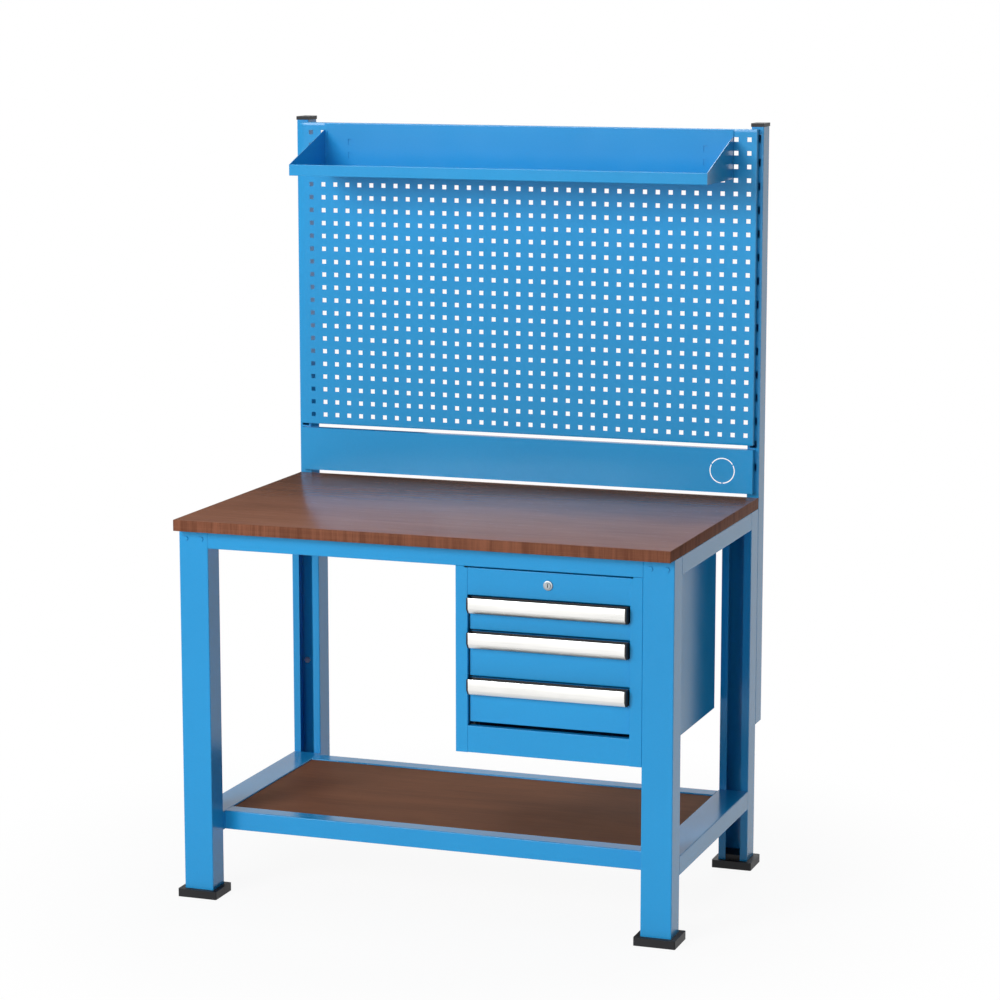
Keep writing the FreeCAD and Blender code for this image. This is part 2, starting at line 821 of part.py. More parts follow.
def cabinet_top():
    """Roof folded up at front and back into lips that are screwed under the worktop."""
    front, back = hanger_y()
    left, right = cabinet_inner_x()
    roof = cabinet_top_z - cabinet_sheet
    points = [(front + hanger_lip, worktop_bottom), (front, worktop_bottom), (front, roof),
              (back, roof), (back, worktop_bottom), (back - hanger_lip, worktop_bottom)]
    parts = [folded("x", points, cabinet_sheet, carcass_bend, left, right)]
    # Tab that carries the far end of the lock's rod
    tab_y = drawer_box_back - 10.0
    tab = box(cabinet_mid_x - 10, cabinet_mid_x + 10, tab_y, tab_y + cabinet_sheet,
              lock_z - lock_rod_diameter / 2 - 6, roof + cabinet_sheet / 2)
    parts.append(tab)
    holes = [rod("y", cabinet_mid_x, lock_z, tab_y - 1, tab_y + cabinet_sheet + 1,
                 lock_rod_diameter + 2 * lock_fit)]
    return cut(fuse(parts), holes)


def fascia(bottom, top):
    """Fixed front panel of the cabinet, folded back at its top and bottom."""
    points = [(fascia_y + fascia_depth, bottom), (fascia_y, bottom), (fascia_y, top),
              (fascia_y + fascia_depth, top)]
    return folded("x", points, -cabinet_sheet, cabinet_bend, opening_left_x, opening_right_x)


def lock_fascia():
    hole = rod("y", cabinet_mid_x, lock_z, fascia_y - 1, fascia_y + cabinet_sheet + 1,
               lock_body_diameter + 2 * lock_fit)
    return cut(fascia(bays_top, lock_fascia_top), [hole])


def bottom_fascia():
    return fascia(cabinet_bottom, bottom_fascia_top)


def slide_posts():
    """Four channels on the side walls that carry the slides."""
    left, right = cabinet_inner_x()
    posts = []
    rows = (slide_front_y + post_from_end, slide_back_y - post_from_end - post_width)
    bottom = cabinet_bottom + cabinet_return + cabinet_sheet
    top = cabinet_top_z - 2 * cabinet_sheet
    for wall, rail in ((left, opening_left_x), (right, opening_right_x)):
        for y in rows:
            points = [(wall, y), (rail, y), (rail, y + post_width), (wall, y + post_width)]
            sheet = post_sheet if rail > wall else -post_sheet
            posts.append(folded("z", points, sheet, post_bend, bottom, top))
    return Part.makeCompound(posts)


# Drawers


def drawer_heights(number):
    """Bottom and top of a drawer's front, numbered 0 to 2 from the top down."""
    top = bays_top - sum(drawer_bay_heights[:number])
    return top - drawer_bay_heights[number], top - drawer_front_gap


def drawer_box_heights(number):
    """Bottom and top of a drawer's box."""
    bottom, top = drawer_heights(number)
    return bottom + drawer_floor_rise, top - drawer_wall_below_front


def slide_middle(number):
    """Height of the middle of a drawer's slides."""
    bottom, top = drawer_box_heights(number)
    return bottom + slide_height / 2 + (top - bottom - slide_height) / 2


def drawer_box(number):
    """Open box with rims turned in."""
    bottom, top = drawer_box_heights(number)
    left, right = drawer_box_left, drawer_box_right
    points = [(left + drawer_rim, top), (left, top), (left, bottom), (right, bottom), (right, top),
              (right - drawer_rim, top)]
    parts = [folded("y", points, drawer_sheet, drawer_box_bend, drawer_box_front, drawer_box_back)]
    edge = drawer_sheet / 2
    for y in (drawer_box_front, drawer_box_back - drawer_sheet):
        parts.append(box(left + edge, right - edge, y, y + drawer_sheet, bottom + edge, top - edge))
    return fuse(parts)


def drawer_catch(number):
    """Bracket on the back of a drawer box, with a lip that the lock bar's finger holds."""
    half = catch_width / 2
    floor_z = catch_floor(number)
    lip_y = catch_y - catch_sheet
    points = [(drawer_box_back, floor_z - catch_foot), (drawer_box_back, floor_z), (lip_y, floor_z),
              (lip_y, floor_z + catch_lip)]
    return folded("x", points, -catch_sheet, catch_sheet, cabinet_mid_x - half, cabinet_mid_x + half)


def catch_floor(number):
    """Height of the underside of a drawer's catch."""
    bottom, top = drawer_box_heights(number)
    return (bottom + top) / 2 - catch_lip


def drawer_front(number):
    """Front panel folded back on all four sides."""
    bottom, top = drawer_heights(number)
    left, right = drawer_front_left, drawer_front_right
    back = drawer_box_front
    points = [(back - drawer_sheet, bottom + drawer_sheet * 3), (back - drawer_sheet, bottom),
              (drawer_face_y, bottom),
              (drawer_face_y, top), (back - drawer_sheet, top), (back - drawer_sheet, top - drawer_sheet * 3)]
    skin = folded("x", points, -drawer_sheet, drawer_bend, left, right)
    edge = drawer_sheet / 2
    cheeks = []
    for x in (left, right - drawer_sheet):
        cheeks.append(box(x, x + drawer_sheet, drawer_face_y + edge, back, bottom + edge, top - edge))
    inner = box(left + edge, right - edge, back - drawer_sheet, back, bottom + drawer_sheet * 2,
                top - drawer_sheet * 2)
    return fuse([skin, inner] + cheeks)


def grip_points(number):
    """Outline of the grip strip: a channel that is open at the top, with a bevelled foot."""
    top = drawer_heights(number)[1]
    bottom = top - grip_height
    face = drawer_face_y
    front = face - grip_depth
    wall = grip_wall
    bevel = grip_height * 0.3
    return [
        (face, bottom),
        (face, top),
        (face - wall, top),
        (face - wall, bottom + bevel),
        (front + wall, bottom + bevel + wall),
        (front + wall, top),
        (front, top),
        (front, bottom + bevel),
        (front + grip_depth * 0.3, bottom),
    ]


def drawer_grip(number):
    return prism("x", grip_points(number), drawer_front_left + grip_cap_thickness,
                 drawer_front_right - grip_cap_thickness)


def drawer_grip_caps(number):
    """Plastic ends of the grip strip."""
    outline = [p for i, p in enumerate(grip_points(number)) if i not in (2, 3, 4, 5)]
    left = prism("x", outline, drawer_front_left, drawer_front_left + grip_cap_thickness)
    right = prism("x", outline, drawer_front_right - grip_cap_thickness, drawer_front_right)
    return Part.makeCompound([left, right])


def slide_members(number):
    """Left slide of a drawer: cabinet member, middle member and drawer member."""
    middle = slide_middle(number)
    outer_x = opening_left_x
    step = slide_sheet + slide_clearance
    half = slide_height / 2
    cabinet = [(outer_x + slide_width - 2 * step, middle + half), (outer_x, middle + half),
               (outer_x, middle - half), (outer_x + slide_width - 2 * step, middle - half)]
    x = outer_x + step
    half -= step
    centre = [(outer_x + slide_width - step, middle + half), (x, middle + half),
              (x, middle - half), (outer_x + slide_width - step, middle - half)]
    x = outer_x + 2 * step
    half -= step
    end = outer_x + slide_width
    drawer = [(x, middle + half), (end, middle + half), (end, middle - half), (x, middle - half)]
    return (
        folded("y", cabinet, slide_sheet, slide_bend, slide_front_y, slide_back_y),
        folded("y", centre, slide_sheet, slide_bend, slide_front_y, slide_back_y),
        folded("y", drawer, -slide_sheet, slide_bend, slide_front_y, slide_back_y),
    )


def both_sides(shape):
    """A slide member and its twin on the other side of the cabinet."""
    twin = shape.mirror(FreeCAD.Vector(cabinet_mid_x, 0, 0), FreeCAD.Vector(1, 0, 0))
    return [shape, twin]


# Lock


def lock_housing():
    """Collar on the fascia with the body behind it, bored for the cylinder."""
    collar = rod("y", cabinet_mid_x, lock_z, fascia_y - lock_flange_thickness, fascia_y, lock_flange_diameter)
    body = rod("y", cabinet_mid_x, lock_z, fascia_y, lock_back_y, lock_body_diameter)
    bore = rod("y", cabinet_mid_x, lock_z, fascia_y - lock_flange_thickness - 1, lock_back_y + 1,
               lock_cylinder_diameter + 2 * lock_fit)
    return fuse([collar, body]).cut(bore)


def lock_cylinder():
    """Plug that turns in the lock, with its keyway."""
    front = fascia_y - lock_flange_thickness - lock_cylinder_proud
    plug = rod("y", cabinet_mid_x, lock_z, front, lock_back_y + 2, lock_cylinder_diameter)
    keyway = box(cabinet_mid_x - keyway_width / 2, cabinet_mid_x + keyway_width / 2, front - 1,
                 front + keyway_depth, lock_z - keyway_length / 2, lock_z + keyway_length / 2)
    return plug.cut(keyway)


def crank_pin_place():
    """Where the crank's pin stands while the drawers are free, as X and Z."""
    reach = crank_radius / math.sqrt(2)
    return cabinet_mid_x + reach, lock_z + reach


def lock_rod():
    """Rod from the cylinder to the back of the cabinet, with a crank and its pin."""
    crank_back = lock_bar_y - seat_gap
    pin_x, pin_z = crank_pin_place()
    shaft = rod("y", cabinet_mid_x, lock_z, lock_back_y + 2, crank_back, lock_rod_diameter)
    half = crank_pin_diameter / 2
    arm = [(cabinet_mid_x - half, lock_z + half), (cabinet_mid_x + half, lock_z - half),
           (pin_x + half, pin_z - half), (pin_x - half, pin_z + half)]
    crank = fuse([
        rod("y", cabinet_mid_x, lock_z, crank_back - crank_thickness, crank_back, lock_rod_diameter + 4),
        rod("y", pin_x, pin_z, crank_back - crank_thickness, crank_back, crank_pin_diameter + 3),
        prism("y", arm, crank_back - crank_thickness, crank_back),
    ])
    pin = rod("y", pin_x, pin_z, crank_back - crank_thickness,
              lock_bar_y + lock_bar_thickness + 2, crank_pin_diameter)
    return fuse([shaft, crank, pin])


def lock_bar():
    """Bar behind the drawers: a slotted head for the crank and a finger over each catch."""
    half = lock_bar_width / 2
    back = lock_bar_y + lock_bar_thickness
    lowest = catch_floor(2)
    head_bottom = lock_z - lock_bar_travel
    bar = box(cabinet_mid_x - half, cabinet_mid_x + half, lock_bar_y, back, lowest, head_bottom)
    head_half = lock_bar_head / 2
    head = box(cabinet_mid_x - head_half, cabinet_mid_x + head_half, lock_bar_y, back,
               head_bottom - 2, lock_z + lock_bar_travel)
    pin_x, pin_z = crank_pin_place()
    play = 0.5
    slot_left = pin_x - crank_pin_diameter / 2 - play
    slot_right = cabinet_mid_x + crank_radius + crank_pin_diameter / 2 + play
    slot_half = crank_pin_diameter / 2 + play
    slot = box(slot_left, slot_right, lock_bar_y - 1, back + 1, pin_z - slot_half, pin_z + slot_half)
    fingers = []
    for number in range(len(drawer_bay_heights)):
        tip = catch_floor(number) + catch_lip + finger_clearance
        finger_y = drawer_box_back + catch_reach * 0.35
        arm = tip + lock_bar_travel
        points = [(lock_bar_y + 0.5, arm + 3), (finger_y, arm + 3), (finger_y, tip), (finger_y + 4, tip),
                  (finger_y + 4, arm), (lock_bar_y + 0.5, arm)]
        fingers.append(prism("x", points, cabinet_mid_x - half + 2, cabinet_mid_x + half - 2))
    return fuse([bar, head] + fingers).cut(slot)


def pieces():
    """Every node of the bench with its shape."""
    right_leg = front_leg()
    yield "front_right_leg", right_leg
    yield "front_left_leg", mirrored_x(right_leg)
    back_leg = rear_leg()
    yield "rear_right_leg", back_leg
    yield "rear_left_leg", mirrored_x(back_leg)
    front_foot = foot(leg_front_y, leg_front_y + leg_depth)
    back_foot = foot(rear_leg_y, worktop_back_y)
    feet = [front_foot, mirrored_x(front_foot), back_foot, mirrored_x(back_foot)]
    yield "feet", Part.makeCompound(feet)
    yield "front_top_rail", long_top_rail(leg_front_y, leg_front_y + rail_depth, leg_front_y,
                                          leg_front_y + leg_depth)
    yield "rear_top_rail", long_top_rail(worktop_back_y - rail_depth, worktop_back_y, worktop_back_y,
                                         rear_leg_y)
    top_rail = side_rail(rail_bottom, worktop_bottom)
    yield "right_top_rail", top_rail
    yield "left_top_rail", mirrored_x(top_rail)
    bottom_rail = side_rail(lower_rail_bottom, lower_rail_top)
    yield "right_bottom_rail", bottom_rail
    yield "left_bottom_rail", mirrored_x(bottom_rail)
    yield "front_shelf_rail", cross_rail(cross_front_y, 1)
    yield "rear_shelf_rail", cross_rail(cross_rear_y, -1)
    yield "lower_shelf_board", shelf_board()
    yield "worktop", worktop()
    yield "frame_bolts", frame_bolts()
    right_upright = upright()
    yield "right_upright", right_upright
    yield "left_upright", mirrored_x(right_upright)
    cap = upright_cap()
    yield "upright_caps", Part.makeCompound([cap, mirrored_x(cap)])
    yield "upright_bolts", upright_bolts()
    yield "pegboard", pegboard()
    yield "lower_back_panel", lower_back_panel()
    yield "cable_knockout", cable_knockout()
    yield "tray_shelf", tray_shelf()
    yield "tray_hooks", tray_hooks()
    yield "cabinet_left_side", cabinet_left_side()
    yield "cabinet_right_side", cabinet_right_side()
    yield "cabinet_back", cabinet_back()
    yield "cabinet_floor", cabinet_floor()
    yield "cabinet_top", cabinet_top()
    yield "lock_fascia", lock_fascia()
    yield "bottom_fascia", bottom_fascia()
    yield "slide_posts", slide_posts()
    fixed_members = []
    for number in range(len(drawer_bay_heights)):
        cabinet_member, middle_member, drawer_member = slide_members(number)
        fixed_members += both_sides(cabinet_member)
        name = f"drawer_{number + 1}"
        yield name + "_box", drawer_box(number)
        yield name + "_catch", drawer_catch(number)
        yield name + "_front", drawer_front(number)
        yield name + "_grip", drawer_grip(number)
        yield name + "_grip_caps", drawer_grip_caps(number)
        yield name + "_slide_middles", Part.makeCompound(both_sides(middle_member))
        yield name + "_slide_inners", Part.makeCompound(both_sides(drawer_member))
    yield "slide_outers", Part.makeCompound(fixed_members)
    yield "lock_housing", lock_housing()
    yield "lock_cylinder", lock_cylinder()
    yield "lock_rod", lock_rod()
    yield "lock_bar", lock_bar()


def main():
    os.makedirs("parts", exist_ok=True)
    for name, shape in pieces():
        shape.exportStep(os.path.join("parts", name + ".step"))
        limits = shape.BoundBox
        print(f"{name}: {len(shape.Solids)} solid(s), valid {shape.isValid()}, volume {shape.Volume:.0f}, "
              f"x {limits.XMin:.1f}..{limits.XMax:.1f}, y {limits.YMin:.1f}..{limits.YMax:.1f}, "
              f"z {limits.ZMin:.1f}..{limits.ZMax:.1f}")


main()
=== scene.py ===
import math

import bmesh
import bpy
from mathutils import Matrix, Vector


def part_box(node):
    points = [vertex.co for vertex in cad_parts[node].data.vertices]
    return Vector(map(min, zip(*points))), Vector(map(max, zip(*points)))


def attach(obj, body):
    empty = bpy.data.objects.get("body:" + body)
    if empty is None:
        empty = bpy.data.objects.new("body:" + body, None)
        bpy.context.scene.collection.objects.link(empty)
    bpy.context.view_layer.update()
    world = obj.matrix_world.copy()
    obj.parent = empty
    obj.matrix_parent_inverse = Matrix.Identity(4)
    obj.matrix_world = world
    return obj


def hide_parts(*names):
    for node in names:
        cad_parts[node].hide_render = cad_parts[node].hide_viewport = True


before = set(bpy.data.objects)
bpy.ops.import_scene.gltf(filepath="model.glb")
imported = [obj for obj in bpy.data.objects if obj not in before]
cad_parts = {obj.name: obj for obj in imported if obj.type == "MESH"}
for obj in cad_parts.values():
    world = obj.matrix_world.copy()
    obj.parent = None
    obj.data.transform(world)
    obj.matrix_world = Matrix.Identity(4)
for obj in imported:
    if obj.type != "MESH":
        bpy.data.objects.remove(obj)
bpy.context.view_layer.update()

# Workbench with a pegboard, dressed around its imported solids. Metres, X right, Y back, Z up.
MM = 0.001

# How near two places count as one, and how near vertices are merged
TOUCH = 0.01 * MM
MERGE = 0.001 * MM

# Angle in degrees above which an edge looks sharp
SHARP = 35.0
PANEL_SHARP = 40.0

# Pegboard
HOLE_COLUMNS = 36
HOLE_ROWS = 23
HOLE_PITCH = 30 * MM
HOLE_SIZE = 10 * MM
FIRST_HOLE_X = -517.5 * MM
FIRST_HOLE_Z = 992.5 * MM
PANEL_SHEET = 1.2 * MM
PANEL_RETURN = 12 * MM
PANEL_DEPTH = 18 * MM
PANEL_BEND = 1.6 * MM
BEND_ANGLE = 1.0
HOOK_FROM_EDGE = 8 * MM
HOOK_WIDTH = 8 * MM
HOOK_SHEET = 1.5 * MM
HOOK_HEIGHTS = (1015.55 * MM, 1330.55 * MM, 1645.55 * MM)
HOOK_ROOT = 0.5 * MM
HOOK_REACH = 2.3 * MM
HOOK_DROP = 8 * MM
HOOK_RISE = 3 * MM

# Worktop
WORKTOP_ROUNDING = 1.5 * MM
FACE_SLOPE = 0.75

# Grip strips
DRAWERS = (1, 2, 3)
GRIP_WALL = 2 * MM
# Faces inside the grip's hollow take a dark finish that paints in shade; faces this near a rim stay
# bright metal
GRIP_BRIGHT_RIM = 0.4 * GRIP_WALL
GRIP_BEVEL_SHARE = 0.3
GRIP_ROUNDING = 0.7 * MM
GRIP_CAP = 4 * MM
GRIP_CAP_ROUNDING = 0.6 * MM
GRIP_INSIDE_MARGIN = 0.1 * MM
LONG_EDGE = 100 * MM

# Lock
LOCK_BORE = 6.05 * MM
LOCK_BODY_RADIUS = 8.5 * MM
LOCK_FLANGE = 3 * MM
LOCK_LIP = 0.5 * MM
LOCK_RIM = 1.4 * MM
LOCK_RIM_BREAK = 0.4 * MM
TURNED_STEPS = 48

# Studio
AMBIENT = 0.1
FLOOR_HALF = 12.0
FLOOR_GLOW = 0.93
FLOOR_FADE = 1.0
FLOOR_FADE_WIDTH = 0.7
CARD_SLABS = (
    ((-2.2, 0.99, 0.72), (-0.5, 1.01, 1.6)),
    ((-0.5, 0.99, 0.72), (0.45, 1.01, 1.03)),
)
BENCH_MIDDLE = (0, 0, 0.9)
LAMPS = (
    ("key", (-2.8, -6.6, 3.6), BENCH_MIDDLE, 3.2, 345),
    ("front", (0.2, -8.0, 2.2), BENCH_MIDDLE, 3.0, 125),
    ("top", (0.0, -0.1, 4.5), (0, -0.1, 0.9), 2.2, 40),
    ("rear", (0.0, 5.0, 5.0), BENCH_MIDDLE, 3.0, 110),
)
CAMERA_PLACE = (2.2766, -6.2467, 1.9884)
CAMERA_DOWN = 0.1674
CAMERA_TURN = 0.3414
CAMERA_LENS = 109.65
CAMERA_SENSOR = 36.0
CAMERA_REACH = (0.1, 100.0)

# Sockets of the colour mix node, whose names repeat
MIX_FACTOR = 0
MIX_FIRST = 6
MIX_SECOND = 7
MIX_RESULT = 2


# Shader maths


class Value:
    """A shader socket that sums and products can be written with."""

    def __init__(self, shading, socket):
        self.shading = shading
        self.socket = socket

    def maths(self, operation, first, second):
        return self.shading.node("ShaderNodeMath", {"operation": operation}, {0: first, 1: second})

    def __add__(self, other):
        return self.maths("ADD", self, other)

    def __radd__(self, other):
        return self.maths("ADD", other, self)

    def __rsub__(self, other):
        return self.maths("SUBTRACT", other, self)

    def __mul__(self, other):
        return self.maths("MULTIPLY", self, other)

    def __rmul__(self, other):
        return self.maths("MULTIPLY", other, self)

    def above(self, limit, blur):
        """0 below the limit and 1 above it, with a soft step of the given width."""
        return self.shading.node(
            "ShaderNodeMapRange",
            {"interpolation_type": "SMOOTHSTEP"},
            {"Value": self, "From Min": limit - blur / 2, "From Max": limit + blur / 2},
        )


class Shading:
    """The nodes of one material, or of the world."""

    def __init__(self, owner):
        owner.use_nodes = True
        self.tree = owner.node_tree

    def feed(self, socket, value):
        if isinstance(value, Value):
            self.tree.links.new(value.socket, socket)
        else:
            socket.default_value = value

    def node(self, kind, settings=None, inputs=None, output=0):
        made = self.tree.nodes.new(kind)
        for name, value in (settings or {}).items():
            setattr(made, name, value)
        for name, value in (inputs or {}).items():
            self.feed(made.inputs[name], value)
        return Value(self, made.outputs[output])

    def light_path(self):
        """1 for what the camera, a reflection or a clear piece shows, and 0 for the light itself."""
        rays = self.tree.nodes.new("ShaderNodeLightPath")
        seen = Value(self, rays.outputs["Is Camera Ray"])
        for name in ("Is Glossy Ray", "Is Transmission Ray"):
            seen = seen.maths("MAXIMUM", seen, Value(self, rays.outputs[name]))
        return seen


class Finish(Shading):
    """A material of the bench, on object coordinates."""

    def __init__(self, name, **constants):
        self.material = bpy.data.materials.new(name)
        super().__init__(self.material)
        self.shader = self.tree.nodes["Principled BSDF"]
        for socket, value in constants.items():
            self.shader.inputs[socket.replace("_", " ")].default_value = value

    def set(self, socket, value):
        self.feed(self.shader.inputs[socket], value)

    def place(self, scale=(1, 1, 1), shift=(0, 0, 0)):
        """Object coordinates, stretched and shifted."""
        where = self.node("ShaderNodeTexCoord", output="Object")
        return self.node(
            "ShaderNodeMapping", None, {"Vector": where, "Scale": scale, "Location": shift}
        )

    def noise(self, scale, detail=2.0, roughness=0.5, distortion=0.0, shift=(0, 0, 0)):
        """Noise with that many cells to the metre along each axis."""
        if not isinstance(scale, tuple):
            scale = (scale, scale, scale)
        return self.node(
            "ShaderNodeTexNoise", None,
            {"Vector": self.place(scale, shift), "Scale": 1.0, "Detail": detail,
             "Roughness": roughness, "Distortion": distortion},
        )

    def blend(self, factor, first, second):
        return self.node(
            "ShaderNodeMix", {"data_type": "RGBA"},
            {MIX_FACTOR: factor, MIX_FIRST: first, MIX_SECOND: second}, output=MIX_RESULT,
        )

    def bump(self, height, distance, strength, under=None):
        inputs = {"Height": height, "Distance": distance, "Strength": strength}
        if under is not None:
            inputs["Normal"] = under
        return self.node("ShaderNodeBump", None, inputs)


def colour(red, green, blue):
    """A colour written as the eye sees it on a screen, 0 to 255, for a shader."""
    linear = []
    for part in (red, green, blue):
        part /= 255
        linear.append(part / 12.92 if part <= 0.04045 else ((part + 0.055) / 1.055) ** 2.4)
    return (*linear, 1.0)


# Finishes


def powder_coat(name, base):
    """Smooth powder coat with a slight orange peel."""
    paint = Finish(name, IOR=1.38)
    red, green, blue = base
    drift = paint.noise(2.2)
    fine = paint.noise(240.0, detail=3.0)
    tone = drift * 0.7 + fine * 0.3
    paint.set("Base Color", paint.blend(
        tone.above(0.5, 0.5),
        colour(red * 0.94, green * 0.97, blue * 0.975),
        colour(red * 1.04, green * 1.015, blue * 1.01),
    ))
    paint.set("Roughness", 0.13 + 0.1 * paint.noise(14.0, detail=3.0) + 0.04 * fine)
    peel = paint.noise(320.0, detail=1.0)
    paint.set("Normal", paint.bump(peel, 0.00003, 0.12))
    return paint


def board_face(name, pale, dark, gloss, ior, shift=(0, 0, 0)):
    """Pressed wood board with a stained, lacquered face. The grain runs along X."""
    wood = Finish(name, IOR=ior)
    cloud = wood.noise((2.2, 7.0, 7.0), detail=4.0, distortion=0.6, shift=shift)
    grain = wood.noise((7.0, 130.0, 130.0), detail=5.0, roughness=0.62, distortion=0.25, shift=shift)
    fibre = wood.noise((26.0, 900.0, 900.0), detail=3.0, roughness=0.6, shift=shift)
    tone = cloud * 0.5 + grain * 0.35 + fibre * 0.15
    body = wood.blend(tone.above(0.5, 0.4), colour(*dark), colour(*pale))
    pores = fibre.above(0.64, 0.1) * 0.35
    deep = [part * 0.62 for part in dark]
    wood.set("Base Color", wood.blend(pores, body, colour(*deep)))
    wood.set("Roughness", gloss + 0.1 * grain + 0.12 * pores)
    wood.set("Normal", wood.bump(1.0 - pores, 0.0001, 0.5, wood.bump(grain, 0.00012, 0.3)))
    return wood


def board_edge(name, pale, dark):
    """Sawn edge of the board: short upright streaks where its layers end."""
    wood = Finish(name, IOR=1.12)
    wide = wood.noise((60.0, 60.0, 5.0), detail=3.0, roughness=0.6)
    narrow = wood.noise((330.0, 330.0, 12.0), detail=3.0, roughness=0.6)
    layers = wood.noise((2.0, 2.0, 420.0))
    tone = wide * 0.55 + narrow * 0.3 + layers * 0.15
    wood.set("Base Color", wood.blend(tone.above(0.5, 0.3), colour(*dark), colour(*pale)))
    wood.set("Roughness", 0.5 + 0.15 * narrow)
    wood.set("Normal", wood.bump(tone, 0.0003, 0.4))
    return wood


def moulded_plastic(name, base):
    """Moulded plastic with a fine grain."""
    plastic = Finish(name, IOR=1.36)
    grain = plastic.noise(1500.0)
    patches = plastic.noise(18.0, detail=3.0)
    paler = [part * 1.35 for part in base]
    plastic.set("Base Color", plastic.blend(patches.above(0.5, 0.4), colour(*base), colour(*paler)))
    plastic.set("Roughness", 0.42 + 0.16 * patches)
    plastic.set("Normal", plastic.bump(grain, 0.00008, 0.5))
    return plastic


def drawn_metal(name, base, dull, along, metallic=1.0):
    """Metal with fine lines along one axis: "x", "y" or "z"."""
    metal = Finish(name, Metallic=metallic)
    stretch = tuple(8.0 if axis == along else 1400.0 for axis in "xyz")
    lines = metal.noise(stretch, detail=3.0, roughness=0.6)
    cloud = metal.noise(9.0, detail=3.0)
    tone = lines * 0.6 + cloud * 0.4
    darker = [part * 0.93 for part in base]
    metal.set("Base Color", metal.blend(tone.above(0.5, 0.4), colour(*darker), colour(*base)))
    metal.set("Roughness", dull + 0.1 * cloud + 0.08 * lines)
    metal.set("Normal", metal.bump(lines, 0.00002, 0.5))
    return metal


def zinc_plate(name, base):
    """Zinc-plated steel: cloudy, with crystals too fine to pick out from afar."""
    zinc = Finish(name, Metallic=1.0)
    cloud = zinc.noise(35.0, detail=4.0)
    crystal = zinc.noise(700.0, detail=3.0)
    tone = cloud * 0.7 + crystal * 0.3
    darker = [part * 0.9 for part in base]
    zinc.set("Base Color", zinc.blend(tone.above(0.5, 0.35), colour(*darker), colour(*base)))
    zinc.set("Roughness", 0.36 + 0.08 * cloud)
    zinc.set("Normal", zinc.bump(crystal, 0.00003, 0.5))
    return zinc


blue_paint = powder_coat("blue_powder_coat", (33, 150, 212))
worktop_face = board_face("worktop_face_wood", (172, 117, 91), (145, 97, 75), 0.18, 1.3)
worktop_edge = board_edge("worktop_edge_wood", (135, 86, 65), (99, 60, 44))
shelf_face = board_face("shelf_face_wood", (140, 92, 65), (114, 74, 52), 0.5, 1.1, shift=(3, 5, 0))
black_plastic = moulded_plastic("black_plastic", (19, 19, 21))
grip_metal = drawn_metal("brushed_grip_aluminium", (242, 241, 238), 0.2, "x")
# Painted shade for the inside of the grip channel, which is really the same bright aluminium
grip_channel_shade_paint = drawn_metal("grip_channel_painted_shade", (30, 29, 30), 0.5, "x", metallic=0.4)
slide_zinc = zinc_plate("slide_zinc", (196, 198, 200))
bolt_zinc = zinc_plate("bolt_zinc", (205, 206, 208))
lock_nickel = drawn_metal("lock_nickel", (158, 164, 168), 0.34, "y")
rod_steel = drawn_metal("rod_steel", (186, 188, 190), 0.32, "z")

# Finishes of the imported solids: the first name that a node's own name holds counts
FINISH_BY_NAME = (
    ("lower_shelf_board", shelf_face),
    ("feet", black_plastic),
    ("upright_caps", black_plastic),
    ("catch", slide_zinc),
    ("slide", slide_zinc),
    ("upright_bolts", bolt_zinc),
    ("lock_bar", slide_zinc),
    ("lock_rod", rod_steel),
    ("lock_cylinder", lock_nickel),
)


# Shaping


def block(mesh, low, high):
    """Adds a block between two corners."""
    low = Vector(low)
    size = Vector(high) - low
    corners = bmesh.ops.create_cube(mesh, size=1.0)["verts"]
    bmesh.ops.scale(mesh, vec=size, verts=corners)
    bmesh.ops.translate(mesh, vec=low + size / 2, verts=corners)


def ease(mesh, edges, width, segments):
    """Rounds edges over."""
    bmesh.ops.bevel(mesh, geom=edges, offset=width, offset_type="OFFSET", affect="EDGES",
                    segments=segments, profile=0.5, material=-1)


def along_x(mesh, outline, start, end):
    """Adds a bar whose section is the (y, z) outline, from start to end in X."""
    ring = [mesh.verts.new((start, y, z)) for y, z in outline]
    cap = mesh.faces.new(ring)
    made = bmesh.ops.extrude_face_region(mesh, geom=[cap], use_keep_orig=True)["geom"]
    far = [v for v in made if isinstance(v, bmesh.types.BMVert)]
    bmesh.ops.translate(mesh, vec=(end - start, 0, 0), verts=far)


def turned(mesh, profile, centre):
    """Adds a shape turned about the Y axis through centre, from (radius, y) points."""
    x, z = centre
    line = [mesh.verts.new((x + radius, y, z)) for radius, y in profile]
    edges = [mesh.edges.new(pair) for pair in zip(line, line[1:] + line[:1])]
    bmesh.ops.spin(mesh, geom=line + edges, cent=(x, 0, z), axis=(0, 1, 0), angle=math.tau,
                   steps=TURNED_STEPS, use_merge=True)
    bmesh.ops.remove_doubles(mesh, verts=mesh.verts, dist=MERGE)


def outwards(mesh):
    """Turns every face outwards."""
    bmesh.ops.recalc_face_normals(mesh, faces=mesh.faces)


def shade(data, sharp):
    """Smooth shading that leaves the sharp edges sharp."""
    data.shade_smooth()
    data.set_sharp_from_angle(angle=math.radians(sharp))


def shown(name, mesh):
    """Puts the shape into the scene."""
    data = bpy.data.meshes.new(name)
    mesh.to_mesh(data)
    mesh.free()
    made = bpy.data.objects.new(name, data)
    bpy.context.scene.collection.objects.link(made)
    return made


def piece(name, mesh, body, finishes, stands_for, sharp=SHARP):
    """Makes the shape a piece of the bench that rides on a body."""
    made = shown(name, mesh)
    for finish in finishes:
        made.data.materials.append(finish.material)
    shade(made.data, sharp)
    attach(made, body)
    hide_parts(*stands_for)
    return made


def settle(made, sharp, add):
    """Works the modifiers into the mesh, adds to it, and shades it anew."""
    evaluated = made.evaluated_get(bpy.context.evaluated_depsgraph_get())
    data = bpy.data.meshes.new_from_object(evaluated)
    made.modifiers.clear()
    made.data = data
    mesh = bmesh.new()
    mesh.from_mesh(data)
    add(mesh)
    outwards(mesh)
    mesh.to_mesh(data)
    mesh.free()
    shade(data, sharp)


# Pegboard


